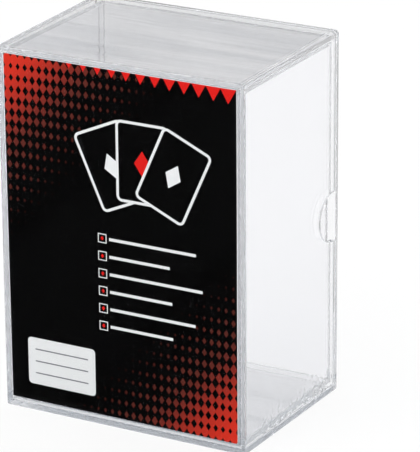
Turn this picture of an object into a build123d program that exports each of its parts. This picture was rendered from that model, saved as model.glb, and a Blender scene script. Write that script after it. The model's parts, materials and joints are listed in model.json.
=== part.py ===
"""Clear two-piece card storage box.

A cover, open at the back, slides over a tray, open at the front, and a printed card
stands behind the cover's front wall. The box stands on one of its short sides.

Both shells are modelled about the draw axis, the line along which they slide and leave
their moulds: it runs along +Y through the middle of the front face, the cover's front
face is at Y = 0 and +Z is up. The last step stands them on the floor.
"""
from build123d import *
import math
import os

# The cards that the tray is made for: a stack of 250, each 0.508 mm thick
card_long_edge = 88.9
card_short_edge = 63.5
card_stack_length = 127.0
play_along_long_edge = 0.96
play_along_short_edge = 0.70
play_along_stack = 0.80

# The tray
tray_wall_at_base = 1.90
tray_base_thickness = 2.10
tray_inner_draft = 0.25
tray_outer_corner_radius = 1.10
tray_inner_corner_radius = 0.80
tray_floor_radius = 0.60
tray_rim_radius = 0.30
flange_edge_radius = 0.35

# The cover
cover_wall = 1.90
cover_front_wall = 1.90
cover_draft = 0.79
cover_front_corner_radius = 0.60
cover_front_edge_radius = 0.45
cover_inner_corner_radius = 0.60
cover_inner_floor_radius = 0.15
cover_rim_radius = 0.20

# The thumb notches in the cover's two tall sides
notch_radius = 9.40
notch_centre_before_rim = 1.80

# The printed card, and the room that it leaves inside the cover's front wall
insert_thickness = 0.35
insert_gap_left = 0.05
insert_gap_right = 1.50
insert_gap_below = 1.35
insert_gap_above = 0.70
insert_gap_to_front = 0.05
insert_gap_to_tray = 0.60

# How the two shells fit
slide_clearance = 0.35
seat_gap = 0.15

# How far a form that hollows a shell passes its rim, and the tray's walls run into its base
hollow_overrun = 1.00
wall_overlap = 0.50

# Sizes of the tray that follow from the cards
inside_width = card_long_edge + play_along_long_edge
inside_height = card_stack_length + play_along_stack
inside_depth = card_short_edge + play_along_short_edge
tray_width = inside_width + 2 * tray_wall_at_base
tray_height = inside_height + 2 * tray_wall_at_base

# Stations along the draw axis, from the cover's front face
insert_front = cover_front_wall + insert_gap_to_front
tray_rim = insert_front + insert_thickness + insert_gap_to_tray
flange_front = tray_rim + inside_depth
box_back = flange_front + tray_base_thickness
cover_rim = flange_front - seat_gap

# The cover's outline is set by the tray's rim, where the two come closest
cover_slope = math.tan(math.radians(cover_draft))
cover_over_tray = slide_clearance + cover_wall - cover_slope * tray_rim
cover_width = tray_width + 2 * cover_over_tray
cover_height = tray_height + 2 * cover_over_tray


def drafted_block(width, height, corner_radius, start, length, draft):
    """A rounded block from the station start along the axis, widening by the draft.

    A negative length runs it towards the front instead.
    """
    facing = math.copysign(1, length)
    plane = Plane(origin=(0, start, 0), x_dir=(1, 0, 0), z_dir=(0, facing, 0))
    outline = plane * RectangleRounded(width, height, corner_radius)
    return extrude(outline, amount=abs(length), taper=-draft)


def end_edges(block, station):
    """The edges of the block that lie in the plane across the axis at the station."""
    return block.edges().filter_by_position(Axis.Y, station - 0.001, station + 0.001)


def cover_outline_at(station, inset=0.0):
    """Width and height of the cover's section at a station, inset by a wall."""
    growth = 2 * (cover_slope * station - inset)
    return cover_width + growth, cover_height + growth


def thumb_notches():
    """A round-ended slot through both tall sides, open at the cover's rim."""
    middle = cover_rim - notch_centre_before_rim
    across = 2 * cover_width
    mouth_length = 2 * notch_centre_before_rim
    round_end = Cylinder(notch_radius, across, rotation=(0, 90, 0))
    mouth = Box(across, mouth_length, 2 * notch_radius)
    return Pos(0, middle, 0) * round_end + Pos(0, middle + mouth_length / 2, 0) * mouth


def make_cover():
    width, height = cover_outline_at(0)
    shell = drafted_block(width, height, cover_front_corner_radius, 0, cover_rim, cover_draft)
    shell = fillet(end_edges(shell, 0), cover_front_edge_radius)

    width, height = cover_outline_at(cover_front_wall, cover_wall)
    past_rim = cover_rim - cover_front_wall + hollow_overrun
    hollow = drafted_block(
        width, height, cover_inner_corner_radius, cover_front_wall, past_rim, cover_draft
    )
    hollow = fillet(end_edges(hollow, cover_front_wall), cover_inner_floor_radius)

    shell -= hollow
    shell -= thumb_notches()
    return fillet(end_edges(shell, cover_rim), cover_rim_radius)


def make_tray():
    wall_length = inside_depth + wall_overlap
    walls = drafted_block(
        tray_width, tray_height, tray_outer_corner_radius, tray_rim, wall_length, 0
    )
    width, height = cover_outline_at(flange_front)
    corner = cover_front_corner_radius + cover_slope * flange_front
    flange = drafted_block(width, height, corner, flange_front, tray_base_thickness, cover_draft)
    flange = fillet(end_edges(flange, box_back), flange_edge_radius)

    hollow = drafted_block(
        inside_width,
        inside_height,
        tray_inner_corner_radius,
        flange_front,
        -(inside_depth + hollow_overrun),
        tray_inner_draft,
    )
    hollow = fillet(end_edges(hollow, flange_front), tray_floor_radius)

    tray = walls + flange - hollow
    return fillet(end_edges(tray, tray_rim), tray_rim_radius)


def make_insert():
    """A flat sheet, clear of the rounds where the cover's front wall meets its sides."""
    room_wide, room_high = cover_outline_at(cover_front_wall, cover_wall + cover_inner_floor_radius)
    width = room_wide - insert_gap_left - insert_gap_right
    height = room_high - insert_gap_below - insert_gap_above
    aside = (insert_gap_left - insert_gap_right) / 2
    above = (insert_gap_below - insert_gap_above) / 2
    sheet = Box(width, insert_thickness, height)
    return Pos(aside, insert_front + insert_thickness / 2, above) * sheet


def stand_on_floor():
    """Turns the axis up by the draft, so that the cover's lower side lies on the floor."""
    lean = math.radians(cover_draft)
    back_height = cover_height + 2 * cover_slope * box_back
    foremost = -cover_height / 2 * math.sin(lean)
    rearmost = box_back * math.cos(lean) + back_height / 2 * math.sin(lean)
    middle = (foremost + rearmost) / 2
    drop = cover_height / 2 * math.cos(lean)
    return Pos(0, -middle, drop) * Rot(X=cover_draft)


placing = stand_on_floor()
pieces = {"cover": make_cover(), "tray": make_tray(), "insert_card": make_insert()}

os.makedirs("parts", exist_ok=True)
for name, piece in pieces.items():
    export_step(placing * piece, f"parts/{name}.step")
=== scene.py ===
"""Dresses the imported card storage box: two clear moulded shells, the printed card that lies behind
the cover's front wall, and a plain pale studio with the camera that the photograph was taken from."""
import json
import math
import bmesh
import bpy
from bpy.props import FloatProperty, FloatVectorProperty, IntProperty, PointerProperty
from bpy.types import Operator, Panel, PropertyGroup
from mathutils import Matrix, Vector


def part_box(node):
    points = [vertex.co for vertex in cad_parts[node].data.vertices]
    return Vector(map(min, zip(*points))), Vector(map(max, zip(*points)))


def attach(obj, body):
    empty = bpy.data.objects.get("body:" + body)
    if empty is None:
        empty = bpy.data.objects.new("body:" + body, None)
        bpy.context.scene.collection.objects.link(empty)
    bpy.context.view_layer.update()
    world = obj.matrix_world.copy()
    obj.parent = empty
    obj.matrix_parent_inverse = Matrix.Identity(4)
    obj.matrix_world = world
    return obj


bl_info = {
    "name": "Card Storage Box",
    "version": (1, 0, 0),
    "blender": (4, 5, 0),
    "location": "View3D > Sidebar > Card Box",
    "description": "Gives a clear two-part card box its plastic, its printed card and its studio",
    "category": "Object",
}

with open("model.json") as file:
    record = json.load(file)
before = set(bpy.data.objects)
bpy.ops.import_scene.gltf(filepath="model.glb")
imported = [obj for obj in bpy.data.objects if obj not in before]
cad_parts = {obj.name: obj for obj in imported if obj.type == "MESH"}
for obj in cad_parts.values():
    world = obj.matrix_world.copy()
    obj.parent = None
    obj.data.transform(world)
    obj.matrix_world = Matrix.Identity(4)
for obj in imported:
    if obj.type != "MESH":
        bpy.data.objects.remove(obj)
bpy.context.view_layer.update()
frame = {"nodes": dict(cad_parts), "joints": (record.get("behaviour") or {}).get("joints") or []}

# Lines of the box: the shells slide along one, and the front wall leans back with it
MM = 0.001
ACROSS = Vector((1, 0, 0))
SLIDE = Vector(frame["joints"][0]["axis"]).normalized()
UPRIGHT = ACROSS.cross(SLIDE)


def extent_along(node, direction):
    """The nearest and farthest places of a CAD node along a direction, in metres."""
    places = [vertex.co.dot(direction) for vertex in frame["nodes"][node].data.vertices]
    return min(places), max(places)


CARD_LEFT, CARD_RIGHT = extent_along("insert_card", ACROSS)
CARD_LOW, CARD_HIGH = extent_along("insert_card", UPRIGHT)
CARD_FRONT = extent_along("insert_card", SLIDE)[0]
CARD_WIDTH = CARD_RIGHT - CARD_LEFT
CARD_HEIGHT = CARD_HIGH - CARD_LOW

# An ink film's thickness: each layer of the print lies this much in front of the one under it
INK_STEP = 0.006 * MM


def linear(code):
    """Turns an sRGB hex colour into the linear values that shaders take."""
    parts = [int(code[place:place + 2], 16) / 255 for place in (1, 3, 5)]
    return tuple(part / 12.92 if part <= 0.04045 else ((part + 0.055) / 1.055) ** 2.4 for part in parts)


def opaque(colour):
    """A colour with full alpha, as a shader's colour socket takes it."""
    return (*colour, 1.0)


WHITE = opaque((1, 1, 1))


def add(tree, kind, feeds=None, values=None, **settings):
    """Adds a node with its settings, its sockets' values and the sockets that feed it."""
    node = tree.nodes.new(kind)
    for name, value in settings.items():
        setattr(node, name, value)
    for socket, value in (values or {}).items():
        node.inputs[socket].default_value = value
    for socket, source in (feeds or {}).items():
        tree.links.new(source, node.inputs[socket])
    return node


# Sizes and colours that a user would change


class ShellSettings(PropertyGroup):
    tint: FloatVectorProperty(
        name="Tint", description="Colour that one skin of the plastic passes",
        subtype="COLOR", size=3, min=0, max=1, default=linear("#FDFDFE"))
    depth_colour: FloatVectorProperty(
        name="Depth Colour", description="Colour that shows where the plastic is looked at along its wall",
        subtype="COLOR", size=3, min=0, max=1, default=linear("#EDEEF0"))
    depth_density: FloatProperty(
        name="Depth Density", description="How quickly the plastic takes that colour, per metre",
        min=0, max=400, default=24)
    haze: FloatProperty(
        name="Haze", description="Roughness of the polished mould face",
        subtype="FACTOR", min=0, max=1, default=0.012)
    edge_haze: FloatProperty(
        name="Edge Haze", description="Share of the light inside the walls that scatters out at their edges",
        subtype="FACTOR", min=0, max=1, default=0.9)
    haze_colour: FloatVectorProperty(
        name="Haze Colour", description="Colour of that scattered light",
        subtype="COLOR", size=3, min=0, max=1, default=linear("#F5F4F4"))
    crease_width: FloatProperty(
        name="Crease Width", description="Width of the creases low down in the side walls",
        subtype="DISTANCE", unit="LENGTH", min=0.0005, max=0.1, default=5 * MM)
    crease_height: FloatProperty(
        name="Crease Height", description="Height of those creases",
        subtype="DISTANCE", unit="LENGTH", min=0, max=0.002, default=0.5 * MM)
    flow_length: FloatProperty(
        name="Flow Length", description="Length of the waves that the plastic leaves as it fills the mould",
        subtype="DISTANCE", unit="LENGTH", min=0.001, max=0.5, default=90 * MM)
    flow_width: FloatProperty(
        name="Flow Width", description="Width of those waves",
        subtype="DISTANCE", unit="LENGTH", min=0.001, max=0.5, default=9 * MM)
    flow_height: FloatProperty(
        name="Flow Height", description="Height of those waves",
        subtype="DISTANCE", unit="LENGTH", min=0, max=0.001, default=0.08 * MM)
    # Painted reflection: a grey painted into the colour of the upper and lower walls along their waves
    # stands in for the dark bands that the wavy walls mirror, deepest towards the front right corner as
    # painted shade
    painted_streak_colour: FloatVectorProperty(
        name="Streak Colour",
        description="Grey that the plastic tends to along the flow lines of the upper and lower walls",
        subtype="COLOR", size=3, min=0, max=1, default=linear("#B9BDC4"))
    painted_streak_depth: FloatProperty(
        name="Streak Depth",
        description="Strength that those lines grow to, a little past the front right corner",
        subtype="FACTOR", min=0, max=1, default=0.5)


class PrintSettings(PropertyGroup):
    stock: FloatVectorProperty(
        name="Stock", description="Uncoated back and cut edges of the card",
        subtype="COLOR", size=3, min=0, max=1, default=linear("#F1F0EC"))
    ground: FloatVectorProperty(
        name="Ground", description="Black that the print stands on",
        subtype="COLOR", size=3, min=0, max=1, default=linear("#060606"))
    glow: FloatVectorProperty(
        name="Glow", description="Red in the two printed corners",
        subtype="COLOR", size=3, min=0, max=1, default=linear("#DD3322"))
    ember: FloatVectorProperty(
        name="Ember", description="Brown that the red fades through",
        subtype="COLOR", size=3, min=0, max=1, default=linear("#5E2A22"))
    white: FloatVectorProperty(
        name="White Ink", description="Outlines, boxes, rules and writing panel",
        subtype="COLOR", size=3, min=0, max=1, default=linear("#F2F2F0"))
    red: FloatVectorProperty(
        name="Red Ink", description="Pennants and pips",
        subtype="COLOR", size=3, min=0, max=1, default=linear("#E3201B"))
    grey: FloatVectorProperty(
        name="Grey Ink", description="Lines to write on",
        subtype="COLOR", size=3, min=0, max=1, default=linear("#85868A"))
    glow_reach: FloatProperty(
        name="Glow Reach", description="How far the red reaches from its corner, along the diagonal",
        subtype="DISTANCE", unit="LENGTH", min=0.005, max=0.12, default=54 * MM)
    lozenge_width: FloatProperty(
        name="Lozenge Width", description="Distance from one lozenge to the next across the card",
        subtype="DISTANCE", unit="LENGTH", min=0.001, max=0.02, default=2.9 * MM)
    lozenge_height: FloatProperty(
        name="Lozenge Height", description="Distance from one lozenge to the next up the card",
        subtype="DISTANCE", unit="LENGTH", min=0.001, max=0.02, default=4.3 * MM)
    pennants: IntProperty(
        name="Pennants", description="Number of red pennants along the top edge", min=1, max=30, default=12)
    pennant_width: FloatProperty(
        name="Pennant Width", description="Width of the largest pennant",
        subtype="DISTANCE", unit="LENGTH", min=0.001, max=0.02, default=6.2 * MM)
    list_rows: IntProperty(
        name="List Rows", description="Number of rows with a box to tick", min=1, max=12, default=6)
    list_spacing: FloatProperty(
        name="List Spacing", description="Distance from one row to the next",
        subtype="DISTANCE", unit="LENGTH", min=0.002, max=0.02, default=6.6 * MM)


class StudioSettings(PropertyGroup):
    floor: FloatVectorProperty(
        name="Floor", description="Colour of the floor and the backdrop",
        subtype="COLOR", size=3, min=0, max=1, default=linear("#FAFAFA"))
    front_level: FloatProperty(
        name="Front Level", description="Brightness of the room on the camera's side",
        subtype="FACTOR", min=0, max=1, default=0.92)
    wall_level: FloatProperty(
        name="Wall Level", description="Brightness of the room's upper walls, as a share of the rest",
        subtype="FACTOR", min=0, max=1, default=0.47)
    key_power: FloatProperty(
        name="Key Power", description="Power of the large soft lamp at the front left",
        min=0, max=400, default=21)
    fill_power: FloatProperty(
        name="Fill Power", description="Power of the large soft lamp at the back right",
        min=0, max=400, default=12)
    azimuth: FloatProperty(
        name="Azimuth", description="Camera's turn round the box from straight in front",
        subtype="ANGLE", unit="ROTATION", default=math.radians(28.869))
    elevation: FloatProperty(
        name="Elevation", description="Camera's height above the horizon",
        subtype="ANGLE", unit="ROTATION", default=math.radians(19.563))
    distance: FloatProperty(
        name="Distance", description="Camera's distance from the point that it looks at",
        subtype="DISTANCE", unit="LENGTH", min=0.1, max=10, default=1.1667)
    aim: FloatVectorProperty(
        name="Aim", description="Point that the camera looks at",
        subtype="TRANSLATION", unit="LENGTH", size=3, default=(15.19 * MM, 2.37 * MM, 68.29 * MM))
    lens: FloatProperty(
        name="Lens", description="Focal length in millimetres, on a 36 mm sensor",
        min=10, max=600, default=260.76)


# Materials


def new_material(name):
    """An empty node material and its tree."""
    material = bpy.data.materials.new(name)
    material.use_nodes = True
    material.node_tree.nodes.clear()
    return material, material.node_tree


# Between each pair of places the creases fade out with height, and come in towards the back and outwards
CREASE_HEIGHTS = (3 * MM, 12 * MM)
CREASE_DEPTHS = (-30 * MM, -16 * MM)
CREASE_ASIDE = (43.5 * MM, 45 * MM)

# The upright walls have this share of the waves' height
UPRIGHT_SHARE = 0.12

# A painted reflection streak starts at the first level of the waves and is full at the second
CREST_LEVELS = (0.5, 0.7)

# The painted reflection streaks, painted shade that stands in for the dark bands the walls mirror, grow
# along the diagonal to the front right corner, from this strength between these places
FAINTEST_PAINTED_STREAK = 0.05
PAINTED_STREAK_PLACES = (-60 * MM, 110 * MM)

# Light inside a wall starts to turn to haze after the first number of turns, and is done at the second
HAZE_TURNS = (1.0, 5.0)

# Lamp light and diffuse light that go straight through a wall take this colour at each of its skins
PASSED_COLOUR = linear("#F6F7F8")


def wall_waves(tree, place, look):
    """Long low waves that the melt leaves as it runs across a wall."""
    stretch = (1 / look.flow_length, 1 / look.flow_width, 1 / look.flow_width)
    flow = add(tree, "ShaderNodeMapping", {"Vector": place}, {"Scale": stretch})
    waves = add(tree, "ShaderNodeTexNoise", {"Vector": flow.outputs["Vector"]},
                {"Scale": 1.0, "Detail": 1.0, "Roughness": 0.35, "Distortion": 0.8})
    return waves.outputs["Fac"]


def wall_creases(tree, place, spot, look):
    """Creases a few millimetres wide, low down in the side walls and some way behind the front."""
    low = add(tree, "ShaderNodeMapRange", {"Value": spot.outputs["Z"]},
              {"From Min": CREASE_HEIGHTS[0], "From Max": CREASE_HEIGHTS[1], "To Min": 1.0, "To Max": 0.0})
    inward = add(tree, "ShaderNodeMapRange", {"Value": spot.outputs["Y"]},
                 {"From Min": CREASE_DEPTHS[0], "From Max": CREASE_DEPTHS[1]})
    aside = add(tree, "ShaderNodeMath", {0: spot.outputs["X"]}, operation="ABSOLUTE")
    outer = add(tree, "ShaderNodeMapRange", {"Value": aside.outputs[0]},
                {"From Min": CREASE_ASIDE[0], "From Max": CREASE_ASIDE[1]})
    side = add(tree, "ShaderNodeMath", {0: low.outputs["Result"], 1: outer.outputs["Result"]},
               operation="MULTIPLY")
    where = add(tree, "ShaderNodeMath", {0: side.outputs[0], 1: inward.outputs["Result"]},
                operation="MULTIPLY")
    folds = add(tree, "ShaderNodeTexNoise", {"Vector": place},
                {"Scale": 1 / look.crease_width, "Detail": 1.0, "Distortion": 0.8})
    crumple = add(tree, "ShaderNodeMath", {0: folds.outputs["Fac"], 1: where.outputs[0]},
                  operation="MULTIPLY")
    return crumple.outputs[0]


def painted_reflection_streaks(tree, waves, level, spot, look):
    """Colour that the walls pass, with painted reflection: grey painted along the crests of the waves in the
    upper and lower walls stands in for the dark bands that the wavy walls mirror, strongest, as painted
    shade, at the front right corner."""
    crests = add(tree, "ShaderNodeMapRange", {"Value": waves},
                 {"From Min": CREST_LEVELS[0], "From Max": CREST_LEVELS[1]})
    corner = add(tree, "ShaderNodeMath", {0: spot.outputs["X"], 1: spot.outputs["Y"]}, operation="SUBTRACT")
    strength = add(tree, "ShaderNodeMapRange", {"Value": corner.outputs[0]},
                   {"From Min": PAINTED_STREAK_PLACES[0], "From Max": PAINTED_STREAK_PLACES[1],
                    "To Min": FAINTEST_PAINTED_STREAK, "To Max": look.painted_streak_depth})
    flat = add(tree, "ShaderNodeMath", {0: crests.outputs["Result"], 1: level}, operation="MULTIPLY")
    painted_share = add(tree, "ShaderNodeMath", {0: flat.outputs[0], 1: strength.outputs["Result"]},
                operation="MULTIPLY")
    # The plastic's tint, mixed towards the grey of the painted reflection streaks
    painted_streaks = add(tree, "ShaderNodeMix", {"Factor": painted_share.outputs[0]},
                  {"A": opaque(look.tint), "B": opaque(look.painted_streak_colour)}, data_type="RGBA")
    return painted_streaks.outputs["Result"]


def clear_polystyrene(look):
    """Crystal polystyrene from a polished mould: glass clear, a little grey where it is looked at edge on,
    with the long low waves that the melt leaves as it runs across a thin wall."""
    material, tree = new_material("injection moulded crystal polystyrene")
    coordinates = add(tree, "ShaderNodeTexCoord")
    place = coordinates.outputs["Object"]
    spot = add(tree, "ShaderNodeSeparateXYZ", {0: place})
    facing = add(tree, "ShaderNodeSeparateXYZ", {0: coordinates.outputs["Normal"]})
    level = add(tree, "ShaderNodeMath", {0: facing.outputs["Z"]}, operation="ABSOLUTE").outputs[0]
    waves = wall_waves(tree, place, look)
    # The waves stand out on the upper and lower walls
    share = add(tree, "ShaderNodeMapRange", {"Value": level}, {"To Min": UPRIGHT_SHARE, "To Max": 1.0})
    swell = add(tree, "ShaderNodeMath", {0: waves, 1: share.outputs["Result"]}, operation="MULTIPLY")
    ripples = add(tree, "ShaderNodeBump", {"Height": wall_creases(tree, place, spot, look)},
                  {"Strength": 1.0, "Distance": look.crease_height})
    relief = add(tree, "ShaderNodeBump", {"Height": swell.outputs[0], "Normal": ripples.outputs["Normal"]},
                 {"Strength": 1.0, "Distance": look.flow_height})
    # Its base colour carries painted reflection streaks along the waves of the upper and lower walls
    plastic = add(tree, "ShaderNodeBsdfPrincipled",
                  {"Normal": relief.outputs["Normal"],
                   "Base Color": painted_reflection_streaks(tree, waves, level, spot, look)},
                  {"Roughness": look.haze, "IOR": 1.59, "Transmission Weight": 1.0})
    # Lamps and the light off the floor reach the card through the walls, which solid glass would block
    open_air = add(tree, "ShaderNodeBsdfTransparent", values={"Color": opaque(PASSED_COLOUR)})
    ray = add(tree, "ShaderNodeLightPath")
    passes = add(tree, "ShaderNodeMath",
                 {0: ray.outputs["Is Shadow Ray"], 1: ray.outputs["Is Diffuse Ray"]}, operation="MAXIMUM")
    # Light that has turned back several times in a wall comes out of its edges as an even pale haze
    turns = add(tree, "ShaderNodeMapRange", {"Value": ray.outputs["Glossy Depth"]},
                {"From Min": HAZE_TURNS[0], "From Max": HAZE_TURNS[1],
                 "To Min": 0.0, "To Max": look.edge_haze})
    haze = add(tree, "ShaderNodeBsdfDiffuse", values={"Color": opaque(look.haze_colour)})
    walls = add(tree, "ShaderNodeMixShader",
                {0: turns.outputs["Result"], 1: plastic.outputs["BSDF"], 2: haze.outputs["BSDF"]})
    skin = add(tree, "ShaderNodeMixShader",
               {0: passes.outputs[0], 1: walls.outputs["Shader"], 2: open_air.outputs["BSDF"]})
    depth = add(tree, "ShaderNodeVolumeAbsorption",
                values={"Color": opaque(look.depth_colour), "Density": look.depth_density})
    add(tree, "ShaderNodeOutputMaterial",
        {"Surface": skin.outputs["Shader"], "Volume": depth.outputs["Volume"]})
    return material


# The red has turned brown at this share of its reach
EMBER_AT = 0.55

# Fibres of the stock show as a mottle this wide, and stand this high
FIBRE_WIDTH = 0.5 * MM
FIBRE_HEIGHT = 0.004 * MM

# Deeper than this into the card the stock is bare
PRINT_DEPTH = 0.02 * MM

# Ink takes a little unevenly, in patches of about a third of a millimetre
PATCH_WIDTH = 0.35 * MM


def printed_card(ink):
    """Coated card, offset printed on one side: a deep black ground with a red glow in two opposite corners,
    and bare white stock with a faint fibre mottle on the back and along the cut edges."""
    material, tree = new_material("offset printed coated card")
    place = add(tree, "ShaderNodeTexCoord").outputs["Object"]

    def reach(direction, start):
        """How far a point is from a start along a direction."""
        along = add(tree, "ShaderNodeVectorMath", {0: place}, {1: direction}, operation="DOT_PRODUCT")
        beyond = add(tree, "ShaderNodeMath", {0: along.outputs["Value"]}, {1: start}, operation="SUBTRACT")
        return beyond.outputs[0]

    # Distances along the diagonal from the upper left and the lower right corner
    diagonal = (ACROSS - UPRIGHT) / math.sqrt(2)
    upper_left = (CARD_LEFT - CARD_HIGH) / math.sqrt(2)
    lower_right = (CARD_LOW - CARD_RIGHT) / math.sqrt(2)
    nearest = add(tree, "ShaderNodeMath",
                  {0: reach(diagonal, upper_left), 1: reach(-diagonal, lower_right)}, operation="MINIMUM")
    share = add(tree, "ShaderNodeMapRange", {"Value": nearest.outputs[0]},
                {"From Min": 0.0, "From Max": ink.glow_reach})
    fade = add(tree, "ShaderNodeValToRGB", {"Fac": share.outputs["Result"]})
    ramp = fade.color_ramp
    ramp.interpolation = "EASE"
    ramp.elements[0].color = opaque(ink.glow)
    ramp.elements[1].color = opaque(ink.ground)
    ramp.elements.new(EMBER_AT).color = opaque(ink.ember)
    fibres = add(tree, "ShaderNodeTexNoise", {"Vector": place}, {"Scale": 1 / FIBRE_WIDTH, "Detail": 3.0})
    mottle = add(tree, "ShaderNodeMapRange", {"Value": fibres.outputs["Fac"]},
                 {"To Min": 0.97, "To Max": 1.0})
    stock = add(tree, "ShaderNodeVectorMath", {"Scale": mottle.outputs["Result"]}, {0: ink.stock},
                operation="SCALE")
    behind = add(tree, "ShaderNodeMath", {0: reach(SLIDE, CARD_FRONT)}, {1: PRINT_DEPTH},
                 operation="GREATER_THAN")
    colour = add(tree, "ShaderNodeMix", {"Factor": behind.outputs[0]}, data_type="RGBA")
    tree.links.new(fade.outputs["Color"], colour.inputs["A"])
    tree.links.new(stock.outputs["Vector"], colour.inputs["B"])
    gloss = add(tree, "ShaderNodeMapRange", {"Value": behind.outputs[0]}, {"To Min": 0.45, "To Max": 0.8})
    grain = add(tree, "ShaderNodeBump", {"Height": fibres.outputs["Fac"]},
                {"Strength": 0.3, "Distance": FIBRE_HEIGHT})
    card = add(tree, "ShaderNodeBsdfPrincipled",
               {"Base Color": colour.outputs["Result"], "Roughness": gloss.outputs["Result"],
                "Normal": grain.outputs["Normal"]},
               {"IOR": 1.5, "Specular IOR Level": 0.05})
    add(tree, "ShaderNodeOutputMaterial", {"Surface": card.outputs["BSDF"]})
    return material


def offset_ink(name, colour):
    """Printing ink on coated card: an even film, thinner here and there, with a soft low gloss."""
    found = bpy.data.materials.get(name)
    if found:
        return found
    material, tree = new_material(name)
    place = add(tree, "ShaderNodeTexCoord").outputs["Object"]
    patches = add(tree, "ShaderNodeTexNoise", {"Vector": place}, {"Scale": 1 / PATCH_WIDTH, "Detail": 2.0})
    film = add(tree, "ShaderNodeMapRange", {"Value": patches.outputs["Fac"]},
               {"To Min": 0.9, "To Max": 1.04})
    tone = add(tree, "ShaderNodeVectorMath", {"Scale": film.outputs["Result"]}, {0: colour},
               operation="SCALE")
    ink = add(tree, "ShaderNodeBsdfPrincipled", {"Base Color": tone.outputs["Vector"]},
              {"Roughness": 0.42, "IOR": 1.5, "Specular IOR Level": 0.05})
    add(tree, "ShaderNodeOutputMaterial", {"Surface": ink.outputs["BSDF"]})
    return material


def black_ink(ink):
    return offset_ink("offset ink black", ink.ground)


def white_ink(ink):
    return offset_ink("offset ink white", ink.white)


def red_ink(ink):
    return offset_ink("offset ink red", ink.red)


def grey_ink(ink):
    return offset_ink("offset ink grey", ink.grey)


# Paper's tooth, drawn this wide so that it can show at all, and its height
TOOTH_WIDTH = 4 * MM
TOOTH_HEIGHT = 0.05 * MM

# Share of the paper's look that is an even white, and how much less of that white the plastic sees
SHOWN_SHARE = 0.85
MIRROR_LOSS = 0.24


def paper_sweep(colour):
    """Seamless studio paper: matt and pale, shown mostly at an even white to the eye and to the plastic,
    with a share of real light left in so that the box keeps its shadow."""
    material, tree = new_material("seamless studio paper")
    place = add(tree, "ShaderNodeTexCoord").outputs["Object"]
    tooth = add(tree, "ShaderNodeTexNoise", {"Vector": place}, {"Scale": 1 / TOOTH_WIDTH, "Detail": 2.0})
    relief = add(tree, "ShaderNodeBump", {"Height": tooth.outputs["Fac"]},
                 {"Strength": 0.1, "Distance": TOOTH_HEIGHT})
    paper = add(tree, "ShaderNodeBsdfPrincipled", {"Normal": relief.outputs["Normal"]},
                {"Base Color": opaque(colour), "Roughness": 0.9, "Specular IOR Level": 0.1})
    shown = add(tree, "ShaderNodeEmission", values={"Color": WHITE, "Strength": 1.0})
    ray = add(tree, "ShaderNodeLightPath")
    mirrored = add(tree, "ShaderNodeMath",
                   {0: ray.outputs["Is Glossy Ray"], 1: ray.outputs["Is Transmission Ray"]},
                   operation="MAXIMUM")
    seen = add(tree, "ShaderNodeMath", {0: ray.outputs["Is Camera Ray"], 1: mirrored.outputs[0]},
               operation="MAXIMUM")
    share = add(tree, "ShaderNodeMapRange", {"Value": seen.outputs[0]}, {"To Max": SHOWN_SHARE})
    less = add(tree, "ShaderNodeMath", {0: mirrored.outputs[0]}, {1: MIRROR_LOSS}, operation="MULTIPLY")
    kept = add(tree, "ShaderNodeMath", {0: share.outputs[0], 1: less.outputs[0]}, operation="SUBTRACT")
    both = add(tree, "ShaderNodeMixShader",
               {0: kept.outputs[0], 1: paper.outputs["BSDF"], 2: shown.outputs[0]})
    add(tree, "ShaderNodeOutputMaterial", {"Surface": both.outputs["Shader"]})
    return material


def black_velvet():
    """Velvet on a studio flag, which swallows the light that falls on it."""
    material, tree = new_material("black velvet")
    cloth = add(tree, "ShaderNodeBsdfDiffuse", values={"Color": opaque(linear("#020202"))})
    # It shows only in what the plastic mirrors: looked at through the box, the floor stays pale
    away = add(tree, "ShaderNodeBsdfTransparent")
    ray = add(tree, "ShaderNodeLightPath")
    mirrored = add(tree, "ShaderNodeMath", {0: ray.outputs["Glossy Depth"]}, {1: 1.0}, operation="MINIMUM")
    both = add(tree, "ShaderNodeMixShader",
               {0: mirrored.outputs[0], 1: away.outputs["BSDF"], 2: cloth.outputs["BSDF"]})
    add(tree, "ShaderNodeOutputMaterial", {"Surface": both.outputs["Shader"]})
    return material


# Making pieces


def show(name, mesh):
    """Links a new object, which stays at the origin, for a mesh."""
    mesh.name = name
    piece = bpy.data.objects.new(name, mesh)
    bpy.context.scene.collection.objects.link(piece)
    return piece


def on_card(layer):
    """Places a drawing, in metres from the card's lower left corner, that many ink films above the card."""
    corner = ACROSS * CARD_LEFT + UPRIGHT * CARD_LOW + SLIDE * (CARD_FRONT - layer * INK_STEP)
    turn = Matrix((ACROSS, UPRIGHT, -SLIDE)).transposed().to_4x4()
    return Matrix.Translation(corner) @ turn


def share_of_card(share):
    """A place on the card, in metres from its lower left corner, from shares of its width and height."""
    return Vector((CARD_WIDTH * share[0], CARD_HEIGHT * share[1]))


def keep_on_cover(piece):
    """The printed card and all that is printed on it stay in the cover."""
    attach(piece, "cover")


def rounded_loop(centre, size, radius, turn=0.0, steps=5):
    """Points round a rectangle with rounded corners, anticlockwise, turned about its centre."""
    points = []
    corners = [(1, -1, -90), (1, 1, 0), (-1, 1, 90), (-1, -1, 180)]
    for side, level, start in corners:
        middle = Vector((side * (size[0] / 2 - radius), level * (size[1] / 2 - radius)))
        for step in range(steps + 1):
            angle = math.radians(start + 90 * step / steps)
            points.append(middle + radius * Vector((math.cos(angle), math.sin(angle))))
    swing = Matrix.Rotation(turn, 2)
    return [Vector(centre) + swing @ point for point in points]


def lozenge_loop(centre, width, height, turn=0.0):
    """Points round an upright lozenge, anticlockwise, turned about its centre."""
    points = [Vector((width / 2, 0)), Vector((0, height / 2)),
              Vector((-width / 2, 0)), Vector((0, -height / 2))]
    swing = Matrix.Rotation(turn, 2)
    return [Vector(centre) + swing @ point for point in points]


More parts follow.
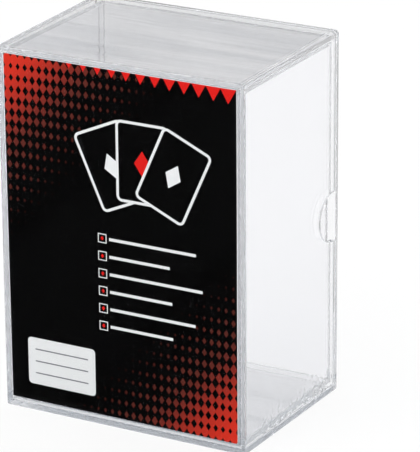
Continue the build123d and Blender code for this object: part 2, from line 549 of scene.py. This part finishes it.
class Drawing:
    """A flat drawing in several inks: faces that look out of the card, in layers."""

    def __init__(self):
        self.form = bmesh.new()
        self.inks = []

    def points(self, loop, layer):
        return [self.form.verts.new((point.x, point.y, layer * INK_STEP)) for point in loop]

    def colour(self, faces, material):
        if material not in self.inks:
            self.inks.append(material)
        for face in faces:
            face.material_index = self.inks.index(material)

    def patch(self, loop, layer, material):
        self.colour([self.form.faces.new(self.points(loop, layer))], material)

    def line(self, outer, inner, layer, material):
        """A line of even width between two loops that have the same number of points."""
        far = self.points(outer, layer)
        near = self.points(inner, layer)
        count = len(far)
        faces = []
        for place in range(count):
            following = (place + 1) % count
            corners = (far[place], far[following], near[following], near[place])
            faces.append(self.form.faces.new(corners))
        self.colour(faces, material)

    def finish(self, name):
        mesh = bpy.data.meshes.new(name)
        self.form.to_mesh(mesh)
        self.form.free()
        for material in self.inks:
            mesh.materials.append(material)
        mesh.transform(on_card(1))
        piece = show(name, mesh)
        keep_on_cover(piece)
        return piece


# Patterns that repeat

# An edge shorter than this is closed up, such as the one that trimming leaves in a card's corner
SHORTEST_EDGE = 0.005 * MM


def new_tree(name, sizes):
    """A Geometry Nodes tree with named inputs, an ink to print in and one output."""
    tree = bpy.data.node_groups.new(name, "GeometryNodeTree")
    for size, kind in sizes.items():
        tree.interface.new_socket(name=size, in_out="INPUT", socket_type=kind)
    tree.interface.new_socket(name="Ink", in_out="INPUT", socket_type="NodeSocketMaterial")
    tree.interface.new_socket(name="Geometry", in_out="OUTPUT", socket_type="NodeSocketGeometry")
    return tree, tree.nodes.new("NodeGroupInput").outputs


def close_tree(tree, geometry, ink):
    """Ends a tree in real faces that carry their material."""
    inked = add(tree, "GeometryNodeSetMaterial", {"Geometry": geometry, "Material": ink})
    add(tree, "NodeGroupOutput", {"Geometry": inked.outputs["Geometry"]})


def grow(name, tree, sizes, place):
    """Runs a tree with its sizes and keeps what it makes as a plain mesh on the card."""
    seed = show(name + "_seed", bpy.data.meshes.new(name + "_seed"))
    modifier = seed.modifiers.new("pattern", "NODES")
    modifier.node_group = tree
    for item in tree.interface.items_tree:
        if item.item_type == "SOCKET" and item.in_out == "INPUT":
            modifier[item.identifier] = sizes[item.name]
    bpy.context.view_layer.update()
    depsgraph = bpy.context.evaluated_depsgraph_get()
    mesh = bpy.data.meshes.new_from_object(seed.evaluated_get(depsgraph), depsgraph=depsgraph)
    bare = seed.data
    bpy.data.objects.remove(seed)
    bpy.data.meshes.remove(bare)
    form = bmesh.new()
    form.from_mesh(mesh)
    bmesh.ops.dissolve_degenerate(form, edges=form.edges, dist=SHORTEST_EDGE)
    form.to_mesh(mesh)
    form.free()
    if not mesh.polygons:
        raise RuntimeError(f"{name} came out empty")
    mesh.transform(place)
    piece = show(name, mesh)
    keep_on_cover(piece)
    return piece


def lattice_tree():
    """Lozenges in rows from a corner, growing with their distance from it until they close up."""
    tree, given = new_tree("lozenge lattice", {
        "Width": "NodeSocketFloat", "Height": "NodeSocketFloat", "Reach": "NodeSocketFloat",
        "Smallest": "NodeSocketFloat"})
    side = add(tree, "ShaderNodeMath", {0: given["Reach"]}, {1: math.sqrt(2)}, operation="MULTIPLY")
    counts = []
    lengths = []
    for pitch in (given["Width"], given["Height"]):
        whole = add(tree, "ShaderNodeMath", {0: side.outputs[0], 1: pitch}, operation="DIVIDE")
        steps = add(tree, "ShaderNodeMath", {0: whole.outputs[0]}, operation="CEIL")
        points = add(tree, "ShaderNodeMath", {0: steps.outputs[0]}, {1: 1.0}, operation="ADD")
        length = add(tree, "ShaderNodeMath", {0: steps.outputs[0], 1: pitch}, operation="MULTIPLY")
        counts.append(points.outputs[0])
        lengths.append(length.outputs[0])
    grid = add(tree, "GeometryNodeMeshGrid",
               {"Size X": lengths[0], "Size Y": lengths[1],
                "Vertices X": counts[0], "Vertices Y": counts[1]})
    size = add(tree, "ShaderNodeCombineXYZ", {"X": lengths[0], "Y": lengths[1]})
    half = add(tree, "ShaderNodeVectorMath", {0: size.outputs[0]}, {"Scale": 0.5}, operation="SCALE")
    rows = add(tree, "GeometryNodeSetPosition",
               {"Geometry": grid.outputs["Mesh"], "Offset": half.outputs[0]})
    spot = add(tree, "ShaderNodeSeparateXYZ", {0: add(tree, "GeometryNodeInputPosition").outputs[0]})
    both = add(tree, "ShaderNodeMath", {0: spot.outputs["X"], 1: spot.outputs["Y"]}, operation="ADD")
    along = add(tree, "ShaderNodeMath", {0: both.outputs[0]}, {1: math.sqrt(2)}, operation="DIVIDE")
    away = along.outputs[0]
    growth = add(tree, "ShaderNodeMapRange",
                 {"Value": away, "From Max": given["Reach"], "To Min": given["Smallest"]}, {"To Max": 1.0})
    near = add(tree, "ShaderNodeMath", {0: away, 1: given["Reach"]}, operation="LESS_THAN")
    lozenge = add(tree, "GeometryNodeMeshCircle", values={"Vertices": 4, "Radius": 1.0}, fill_type="NGON")
    spans = []
    for pitch in (given["Width"], given["Height"]):
        grown = add(tree, "ShaderNodeMath", {0: pitch, 1: growth.outputs["Result"]}, operation="MULTIPLY")
        spans.append(grown.outputs[0])
    span = add(tree, "ShaderNodeCombineXYZ", {"X": spans[0], "Y": spans[1]}, {"Z": 1.0})
    spread = add(tree, "GeometryNodeInstanceOnPoints",
                 {"Points": rows.outputs["Geometry"], "Selection": near.outputs[0],
                  "Instance": lozenge.outputs["Mesh"], "Scale": span.outputs[0]})
    real = add(tree, "GeometryNodeRealizeInstances", {"Geometry": spread.outputs["Instances"]})
    # Lozenges on the card's edge are trimmed to it
    corners = add(tree, "GeometryNodeInputPosition")
    trimmed = add(tree, "ShaderNodeVectorMath", {0: corners.outputs[0]}, {1: (0, 0, 0)}, operation="MAXIMUM")
    kept = add(tree, "GeometryNodeSetPosition",
               {"Geometry": real.outputs["Geometry"], "Position": trimmed.outputs[0]})
    close_tree(tree, kept.outputs["Geometry"], given["Ink"])
    return tree


def pennant_tree():
    """Triangles that hang side by side from a line and shrink along it."""
    tree, given = new_tree("pennant row", {
        "Count": "NodeSocketInt", "Width": "NodeSocketFloat", "Spacing": "NodeSocketFloat",
        "Last Share": "NodeSocketFloat"})
    step = add(tree, "ShaderNodeCombineXYZ", {"X": given["Spacing"]})
    line = add(tree, "GeometryNodeMeshLine", {"Count": given["Count"], "Offset": step.outputs[0]},
               mode="OFFSET")
    order = add(tree, "GeometryNodeInputIndex").outputs[0]
    share = add(tree, "ShaderNodeMapRange",
                {"Value": order, "From Max": given["Count"], "To Max": given["Last Share"]}, {"To Min": 1.0})
    # A circle of three points is a triangle: turned, its flat side lies up, half its radius above the middle
    triangle = add(tree, "GeometryNodeMeshCircle", values={"Vertices": 3, "Radius": 1 / math.sqrt(3)},
                   fill_type="NGON")
    hung = add(tree, "GeometryNodeTransform", {"Geometry": triangle.outputs["Mesh"]},
               {"Rotation": (0, 0, -math.pi / 2), "Translation": (0, -0.5 / math.sqrt(3), 0)})
    across = add(tree, "ShaderNodeMath", {0: given["Width"], 1: share.outputs["Result"]},
                 operation="MULTIPLY")
    span = add(tree, "ShaderNodeCombineXYZ", {"X": across.outputs[0], "Y": across.outputs[0]}, {"Z": 1.0})
    spread = add(tree, "GeometryNodeInstanceOnPoints",
                 {"Points": line.outputs["Mesh"], "Instance": hung.outputs["Geometry"],
                  "Scale": span.outputs[0]})
    real = add(tree, "GeometryNodeRealizeInstances", {"Geometry": spread.outputs["Instances"]})
    close_tree(tree, real.outputs["Geometry"], given["Ink"])
    return tree


def list_tree():
    """Rows of a hollow box and a rule, the rules of uneven length."""
    tree, given = new_tree("list rows", {
        "Rows": "NodeSocketInt", "Spacing": "NodeSocketFloat", "Box": "NodeSocketFloat",
        "Line": "NodeSocketFloat", "Rule Width": "NodeSocketFloat", "Shortest": "NodeSocketFloat",
        "Longest": "NodeSocketFloat", "Seed": "NodeSocketInt"})
    down = add(tree, "ShaderNodeMath", {0: given["Spacing"]}, {1: -1.0}, operation="MULTIPLY")
    step = add(tree, "ShaderNodeCombineXYZ", {"Y": down.outputs[0]})
    line = add(tree, "GeometryNodeMeshLine", {"Count": given["Rows"], "Offset": step.outputs[0]},
               mode="OFFSET")
    # The hollow box is a square drawn with a flat pen
    square = add(tree, "GeometryNodeCurvePrimitiveQuadrilateral",
                 {"Width": given["Box"], "Height": given["Box"]})
    pen = add(tree, "GeometryNodeCurvePrimitiveLine", {"Length": given["Line"]},
              {"Start": (0, 0, 0), "Direction": (1, 0, 0)}, mode="DIRECTION")
    outline = add(tree, "GeometryNodeCurveToMesh",
                  {"Curve": square.outputs["Curve"], "Profile Curve": pen.outputs["Curve"]})
    boxes = add(tree, "GeometryNodeInstanceOnPoints",
                {"Points": line.outputs["Mesh"], "Instance": outline.outputs["Mesh"]})
    # A rule is a bar one metre square that starts in the middle of its row's box. It is scaled to its size
    # and moved aside by the box's width
    bar = add(tree, "GeometryNodeMeshGrid",
              values={"Size X": 1.0, "Size Y": 1.0, "Vertices X": 2, "Vertices Y": 2})
    start = add(tree, "GeometryNodeTransform", {"Geometry": bar.outputs["Mesh"]},
                {"Translation": (0.5, 0, 0)})
    length = add(tree, "FunctionNodeRandomValue",
                 {"Min": given["Shortest"], "Max": given["Longest"], "Seed": given["Seed"]},
                 data_type="FLOAT")
    span = add(tree, "ShaderNodeCombineXYZ", {"Y": given["Rule Width"]}, {"Z": 1.0})
    tree.links.new(length.outputs[1], span.inputs["X"])
    rules = add(tree, "GeometryNodeInstanceOnPoints",
                {"Points": line.outputs["Mesh"], "Instance": start.outputs["Geometry"],
                 "Scale": span.outputs[0]})
    margin = add(tree, "ShaderNodeCombineXYZ", {"X": given["Box"]})
    beside = add(tree, "GeometryNodeTranslateInstances",
                 {"Instances": rules.outputs["Instances"], "Translation": margin.outputs[0]},
                 {"Local Space": False})
    together = add(tree, "GeometryNodeJoinGeometry")
    tree.links.new(boxes.outputs["Instances"], together.inputs[0])
    tree.links.new(beside.outputs["Instances"], together.inputs[0])
    real = add(tree, "GeometryNodeRealizeInstances", {"Geometry": together.outputs["Geometry"]})
    close_tree(tree, real.outputs["Geometry"], given["Ink"])
    return tree


# Sizes and places of the print, in metres; a place given as a share is of the card's width and height

# The lattice's first lozenge is this share of a full one
SMALLEST_LOZENGE = 0.2

# From one pennant to the next, as a share of the largest one's width, and the share of that width
# that one more pennant, after the last, would have
PENNANT_PITCH = 0.92
LAST_PENNANT = 0.3

LIST_PLACE = (0.42, 0.52)
LIST_BOX = 2.8 * MM
LIST_LINE = 0.5 * MM
LIST_PIP = (1.3 * MM, 1.7 * MM)
RULE_WIDTH = 1.1 * MM
RULE_LENGTHS = (22 * MM, 40 * MM)
RULE_SEED = 4

# The fan's cards turn about the place of the hand that would hold them, by these degrees;
# their corners' radii are those outside and inside their outline
HAND_PLACE = (0.60, 0.52)
FAN_TURNS = (24, 0, -24)
FAN_RADIUS = 30 * MM
FAN_CARD = (21 * MM, 30 * MM)
FAN_CORNERS = (2.2 * MM, 1.2 * MM)
FAN_LINE = 1 * MM
FAN_PIP = (6.5 * MM, 9.5 * MM)

PANEL_PLACE = (21 * MM, 15.5 * MM)
PANEL_SIZE = (28 * MM, 18 * MM)
PANEL_CORNER = 1.5 * MM
WRITING_SPACING = 4.6 * MM
WRITING_LINE = (22 * MM, 0.5 * MM)
WRITING_CORNER = 0.2 * MM


# Steps


class CARDBOX_OT_clear_shells(Operator):
    """Gives the cover and the tray their clear moulded plastic"""
    bl_idname = "card_box.clear_shells"
    bl_label = "Clear Shells"

    def execute(self, context):
        plastic = clear_polystyrene(context.scene.card_box_shell)
        for name in ("cover", "tray"):
            for slot in frame["nodes"][name].material_slots:
                slot.material = plastic
        return {"FINISHED"}


class CARDBOX_OT_printed_card(Operator):
    """Prints the card's black ground and the red glow in two of its corners"""
    bl_idname = "card_box.printed_card"
    bl_label = "Printed Card"

    def execute(self, context):
        card = printed_card(context.scene.card_box_print)
        for slot in frame["nodes"]["insert_card"].material_slots:
            slot.material = card
        return {"FINISHED"}


class CARDBOX_OT_lattices(Operator):
    """Prints a lattice of black lozenges over each red corner"""
    bl_idname = "card_box.lattices"
    bl_label = "Lozenge Lattices"

    def execute(self, context):
        ink = context.scene.card_box_print
        tree = lattice_tree()
        # Each lattice grows from its corner of the card, a quarter turn from upright
        sizes = {"Width": ink.lozenge_height, "Height": ink.lozenge_width, "Reach": ink.glow_reach,
                 "Smallest": SMALLEST_LOZENGE, "Ink": black_ink(ink)}
        upper = Matrix.Translation((0, CARD_HEIGHT, 0)) @ Matrix.Rotation(-math.pi / 2, 4, "Z")
        lower = Matrix.Translation((CARD_WIDTH, 0, 0)) @ Matrix.Rotation(math.pi / 2, 4, "Z")
        grow("print_lattice_upper", tree, sizes, on_card(1) @ upper)
        grow("print_lattice_lower", tree, sizes, on_card(1) @ lower)
        return {"FINISHED"}


class CARDBOX_OT_pennants(Operator):
    """Prints a row of red pennants that hang from the card's top edge and shrink towards the left"""
    bl_idname = "card_box.pennants"
    bl_label = "Pennants"

    def execute(self, context):
        ink = context.scene.card_box_print
        sizes = {"Count": ink.pennants, "Width": ink.pennant_width,
                 "Spacing": -ink.pennant_width * PENNANT_PITCH, "Last Share": LAST_PENNANT,
                 "Ink": red_ink(ink)}
        start = Matrix.Translation((CARD_WIDTH - ink.pennant_width / 2, CARD_HEIGHT, 0))
        grow("print_pennants", pennant_tree(), sizes, on_card(2) @ start)
        return {"FINISHED"}


class CARDBOX_OT_check_list(Operator):
    """Prints rows with a box to tick and a rule to write on"""
    bl_idname = "card_box.check_list"
    bl_label = "Check List"

    def execute(self, context):
        ink = context.scene.card_box_print
        sizes = {"Rows": ink.list_rows, "Spacing": ink.list_spacing, "Box": LIST_BOX, "Line": LIST_LINE,
                 "Rule Width": RULE_WIDTH, "Shortest": RULE_LENGTHS[0], "Longest": RULE_LENGTHS[1],
                 "Seed": RULE_SEED, "Ink": white_ink(ink)}
        first = share_of_card(LIST_PLACE)
        grow("print_check_list", list_tree(), sizes, on_card(2) @ Matrix.Translation((*first, 0)))
        drawing = Drawing()
        for row in range(ink.list_rows):
            middle = first - Vector((0, row * ink.list_spacing))
            drawing.patch(lozenge_loop(middle, *LIST_PIP), 1, red_ink(ink))
        drawing.finish("print_list_marks")
        return {"FINISHED"}


class CARDBOX_OT_card_fan(Operator):
    """Prints three fanned blank cards, each with a lozenge pip"""
    bl_idname = "card_box.card_fan"
    bl_label = "Card Fan"

    def execute(self, context):
        ink = context.scene.card_box_print
        drawing = Drawing()
        hand = share_of_card(HAND_PLACE)
        size = Vector(FAN_CARD)
        border = 2 * Vector((FAN_LINE, FAN_LINE))
        for place, degrees in enumerate(FAN_TURNS):
            turn = math.radians(degrees)
            centre = hand + Matrix.Rotation(turn, 2) @ Vector((0, FAN_RADIUS))
            outer = rounded_loop(centre, size, FAN_CORNERS[0], turn)
            inner = rounded_loop(centre, size - border, FAN_CORNERS[1], turn)
            # Each card covers the one before, and its pip lies on it
            layer = 2 * place + 1
            drawing.line(outer, inner, layer, white_ink(ink))
            drawing.patch(inner, layer, black_ink(ink))
            pip = red_ink(ink) if degrees == 0 else white_ink(ink)
            drawing.patch(lozenge_loop(centre, *FAN_PIP, turn), layer + 1, pip)
        drawing.finish("print_card_fan")
        return {"FINISHED"}


class CARDBOX_OT_writing_panel(Operator):
    """Prints a white panel with lines to write on"""
    bl_idname = "card_box.writing_panel"
    bl_label = "Writing Panel"

    def execute(self, context):
        ink = context.scene.card_box_print
        drawing = Drawing()
        centre = Vector(PANEL_PLACE)
        drawing.patch(rounded_loop(centre, PANEL_SIZE, PANEL_CORNER), 1, white_ink(ink))
        for row in (-1, 0, 1):
            middle = centre + Vector((0, row * WRITING_SPACING))
            drawing.patch(rounded_loop(middle, WRITING_LINE, WRITING_CORNER), 2, grey_ink(ink))
        drawing.finish("print_writing_panel")
        return {"FINISHED"}


# Sizes and places of the studio, in metres

FLOOR_REACH = 3.0
FLOOR_DROP = 0.2 * MM

# The flag reaches this far to each side and to the front, and ends this far in front of the box
FLAG_ASIDE = 0.9
FLAG_FRONT = -1.0
FLAG_GAP = 2 * MM
FLAG_DROP = 0.1 * MM

KEY_PLACE = (-0.5, -1.3, 0.9)
FILL_PLACE = (1.1, 1.2, 0.8)
LAMP_SIZE = 2.0
SENSOR_WIDTH = 36
NEAREST_SEEN = 0.05

# Heights in the room, as the upward part of a direction: where the walls start to darken,
# where they are darkest, and where the ceiling is white again
WALLS_START = 0.08
WALLS_DARKEST = (0.33, 0.48)
CEILING_START = 0.85

# The room brightens from the camera's side to the back between these parts of a direction
ROOM_DEPTHS = (-0.6, 0.3)

# Light turns back many times inside a clear wall before it comes out of its edge
LIGHT_TURNS = 40


class CARDBOX_OT_studio(Operator):
    """Sets the floor, the flag, the room, the lamps and the camera"""
    bl_idname = "card_box.studio"
    bl_label = "Studio"

    def execute(self, context):
        studio = context.scene.card_box_studio
        self.floor(studio)
        self.room(context, studio)
        self.lamp("key_lamp", KEY_PLACE, studio.key_power, studio)
        self.lamp("fill_lamp", FILL_PLACE, studio.fill_power, studio)
        self.camera(context, studio)
        return {"FINISHED"}

    def sheet(self, name, corners, height, material):
        mesh = bpy.data.meshes.new(name)
        mesh.from_pydata([(x, y, height) for x, y in corners], [], [range(len(corners))])
        mesh.materials.append(material)
        piece = show(name, mesh)
        return piece

    def floor(self, studio):
        reach = FLOOR_REACH
        corners = [(-reach, -reach), (reach, -reach), (reach, reach), (-reach, reach)]
        self.sheet("studio_floor", corners, -FLOOR_DROP, paper_sweep(studio.floor))
        # A flag lies where the front wall would mirror the bright floor into the black print
        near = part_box("cover")[0].y - FLAG_GAP
        corners = [(-FLAG_ASIDE, FLAG_FRONT), (FLAG_ASIDE, FLAG_FRONT),
                   (FLAG_ASIDE, near), (-FLAG_ASIDE, near)]
        flag = self.sheet("studio_flag", corners, -FLAG_DROP, black_velvet())
        flag.visible_camera = False
        flag.visible_diffuse = False
        flag.visible_shadow = False

    def room(self, context, studio):
        """White all round to the eye, and to the plastic white behind and above but dimmer at the front
        and round the walls."""
        world = bpy.data.worlds.new("studio room")
        world.use_nodes = True
        tree = world.node_tree
        tree.nodes.clear()
        direction = add(tree, "ShaderNodeTexCoord").outputs["Generated"]
        towards = add(tree, "ShaderNodeSeparateXYZ", {0: direction})
        depth = add(tree, "ShaderNodeMapRange", {"Value": towards.outputs["Y"]},
                    {"From Min": ROOM_DEPTHS[0], "From Max": ROOM_DEPTHS[1],
                     "To Min": studio.front_level, "To Max": 1.0})
        height = add(tree, "ShaderNodeValToRGB", {"Fac": towards.outputs["Z"]})
        stops = height.color_ramp.elements
        stops[0].position = WALLS_START
        stops[0].color = WHITE
        stops[1].position = CEILING_START
        stops[1].color = WHITE
        for place in WALLS_DARKEST:
            stops.new(place).color = (studio.wall_level, studio.wall_level, studio.wall_level, 1)
        room = add(tree, "ShaderNodeMath",
                   {0: depth.outputs["Result"], 1: height.outputs["Color"]}, operation="MULTIPLY")
        ray = add(tree, "ShaderNodeLightPath")
        level = add(tree, "ShaderNodeMath",
                    {0: room.outputs[0], 1: ray.outputs["Is Camera Ray"]}, operation="MAXIMUM")
        light = add(tree, "ShaderNodeBackground", {"Strength": level.outputs[0]}, {"Color": WHITE})
        add(tree, "ShaderNodeOutputWorld", {"Surface": light.outputs[0]})
        context.scene.world = world
        context.scene.view_settings.view_transform = "Standard"
        paths = context.scene.cycles
        paths.max_bounces = LIGHT_TURNS
        paths.glossy_bounces = LIGHT_TURNS
        paths.transmission_bounces = LIGHT_TURNS
        paths.transparent_max_bounces = LIGHT_TURNS

    def lamp(self, name, place, power, studio):
        light = bpy.data.lights.new(name, "AREA")
        light.shape = "SQUARE"
        light.size = LAMP_SIZE
        light.energy = power
        lamp = bpy.data.objects.new(name, light)
        lamp.location = place
        lamp.rotation_euler = (lamp.location - Vector(studio.aim)).to_track_quat("Z", "Y").to_euler()
        bpy.context.scene.collection.objects.link(lamp)
        # The walls mirror the room alone, so that no side of the box glares from any view
        lamp.visible_glossy = False
        lamp.visible_transmission = False

    def camera(self, context, studio):
        eye = bpy.data.cameras.new("camera")
        eye.sensor_width = SENSOR_WIDTH
        eye.lens = studio.lens
        eye.clip_start = NEAREST_SEEN
        camera = bpy.data.objects.new("camera", eye)
        level = math.cos(studio.elevation)
        away = Vector((math.sin(studio.azimuth) * level, -math.cos(studio.azimuth) * level,
                       math.sin(studio.elevation)))
        camera.location = Vector(studio.aim) + away * studio.distance
        camera.rotation_euler = away.to_track_quat("Z", "Y").to_euler()
        context.scene.collection.objects.link(camera)
        context.scene.camera = camera


class CARDBOX_PT_panel(Panel):
    """Lists the box's sizes, colours and steps"""
    bl_idname = "CARDBOX_PT_panel"
    bl_label = "Card Storage Box"
    bl_space_type = "VIEW_3D"
    bl_region_type = "UI"
    bl_category = "Card Box"

    def draw(self, context):
        for name in SETTINGS:
            group = getattr(context.scene, name)
            box = self.layout.box()
            for setting in group.__annotations__:
                box.prop(group, setting)
        for step in STEPS:
            self.layout.operator(step.bl_idname)


SETTINGS = {"card_box_shell": ShellSettings, "card_box_print": PrintSettings,
            "card_box_studio": StudioSettings}
STEPS = (CARDBOX_OT_clear_shells, CARDBOX_OT_printed_card, CARDBOX_OT_lattices, CARDBOX_OT_pennants,
         CARDBOX_OT_check_list, CARDBOX_OT_card_fan, CARDBOX_OT_writing_panel, CARDBOX_OT_studio)


def register():
    for group in SETTINGS.values():
        bpy.utils.register_class(group)
    for step in STEPS:
        bpy.utils.register_class(step)
    bpy.utils.register_class(CARDBOX_PT_panel)
    for name, group in SETTINGS.items():
        setattr(bpy.types.Scene, name, PointerProperty(type=group))


def unregister():
    for name in SETTINGS:
        delattr(bpy.types.Scene, name)
    bpy.utils.unregister_class(CARDBOX_PT_panel)
    for step in reversed(STEPS):
        bpy.utils.unregister_class(step)
    for group in reversed(list(SETTINGS.values())):
        bpy.utils.unregister_class(group)


def main():
    """Runs every step in order."""
    register()
    bpy.ops.card_box.clear_shells()
    bpy.ops.card_box.printed_card()
    bpy.ops.card_box.lattices()
    bpy.ops.card_box.pennants()
    bpy.ops.card_box.check_list()
    bpy.ops.card_box.card_fan()
    bpy.ops.card_box.writing_panel()
    bpy.ops.card_box.studio()


if __name__ == "__main__":
    main()
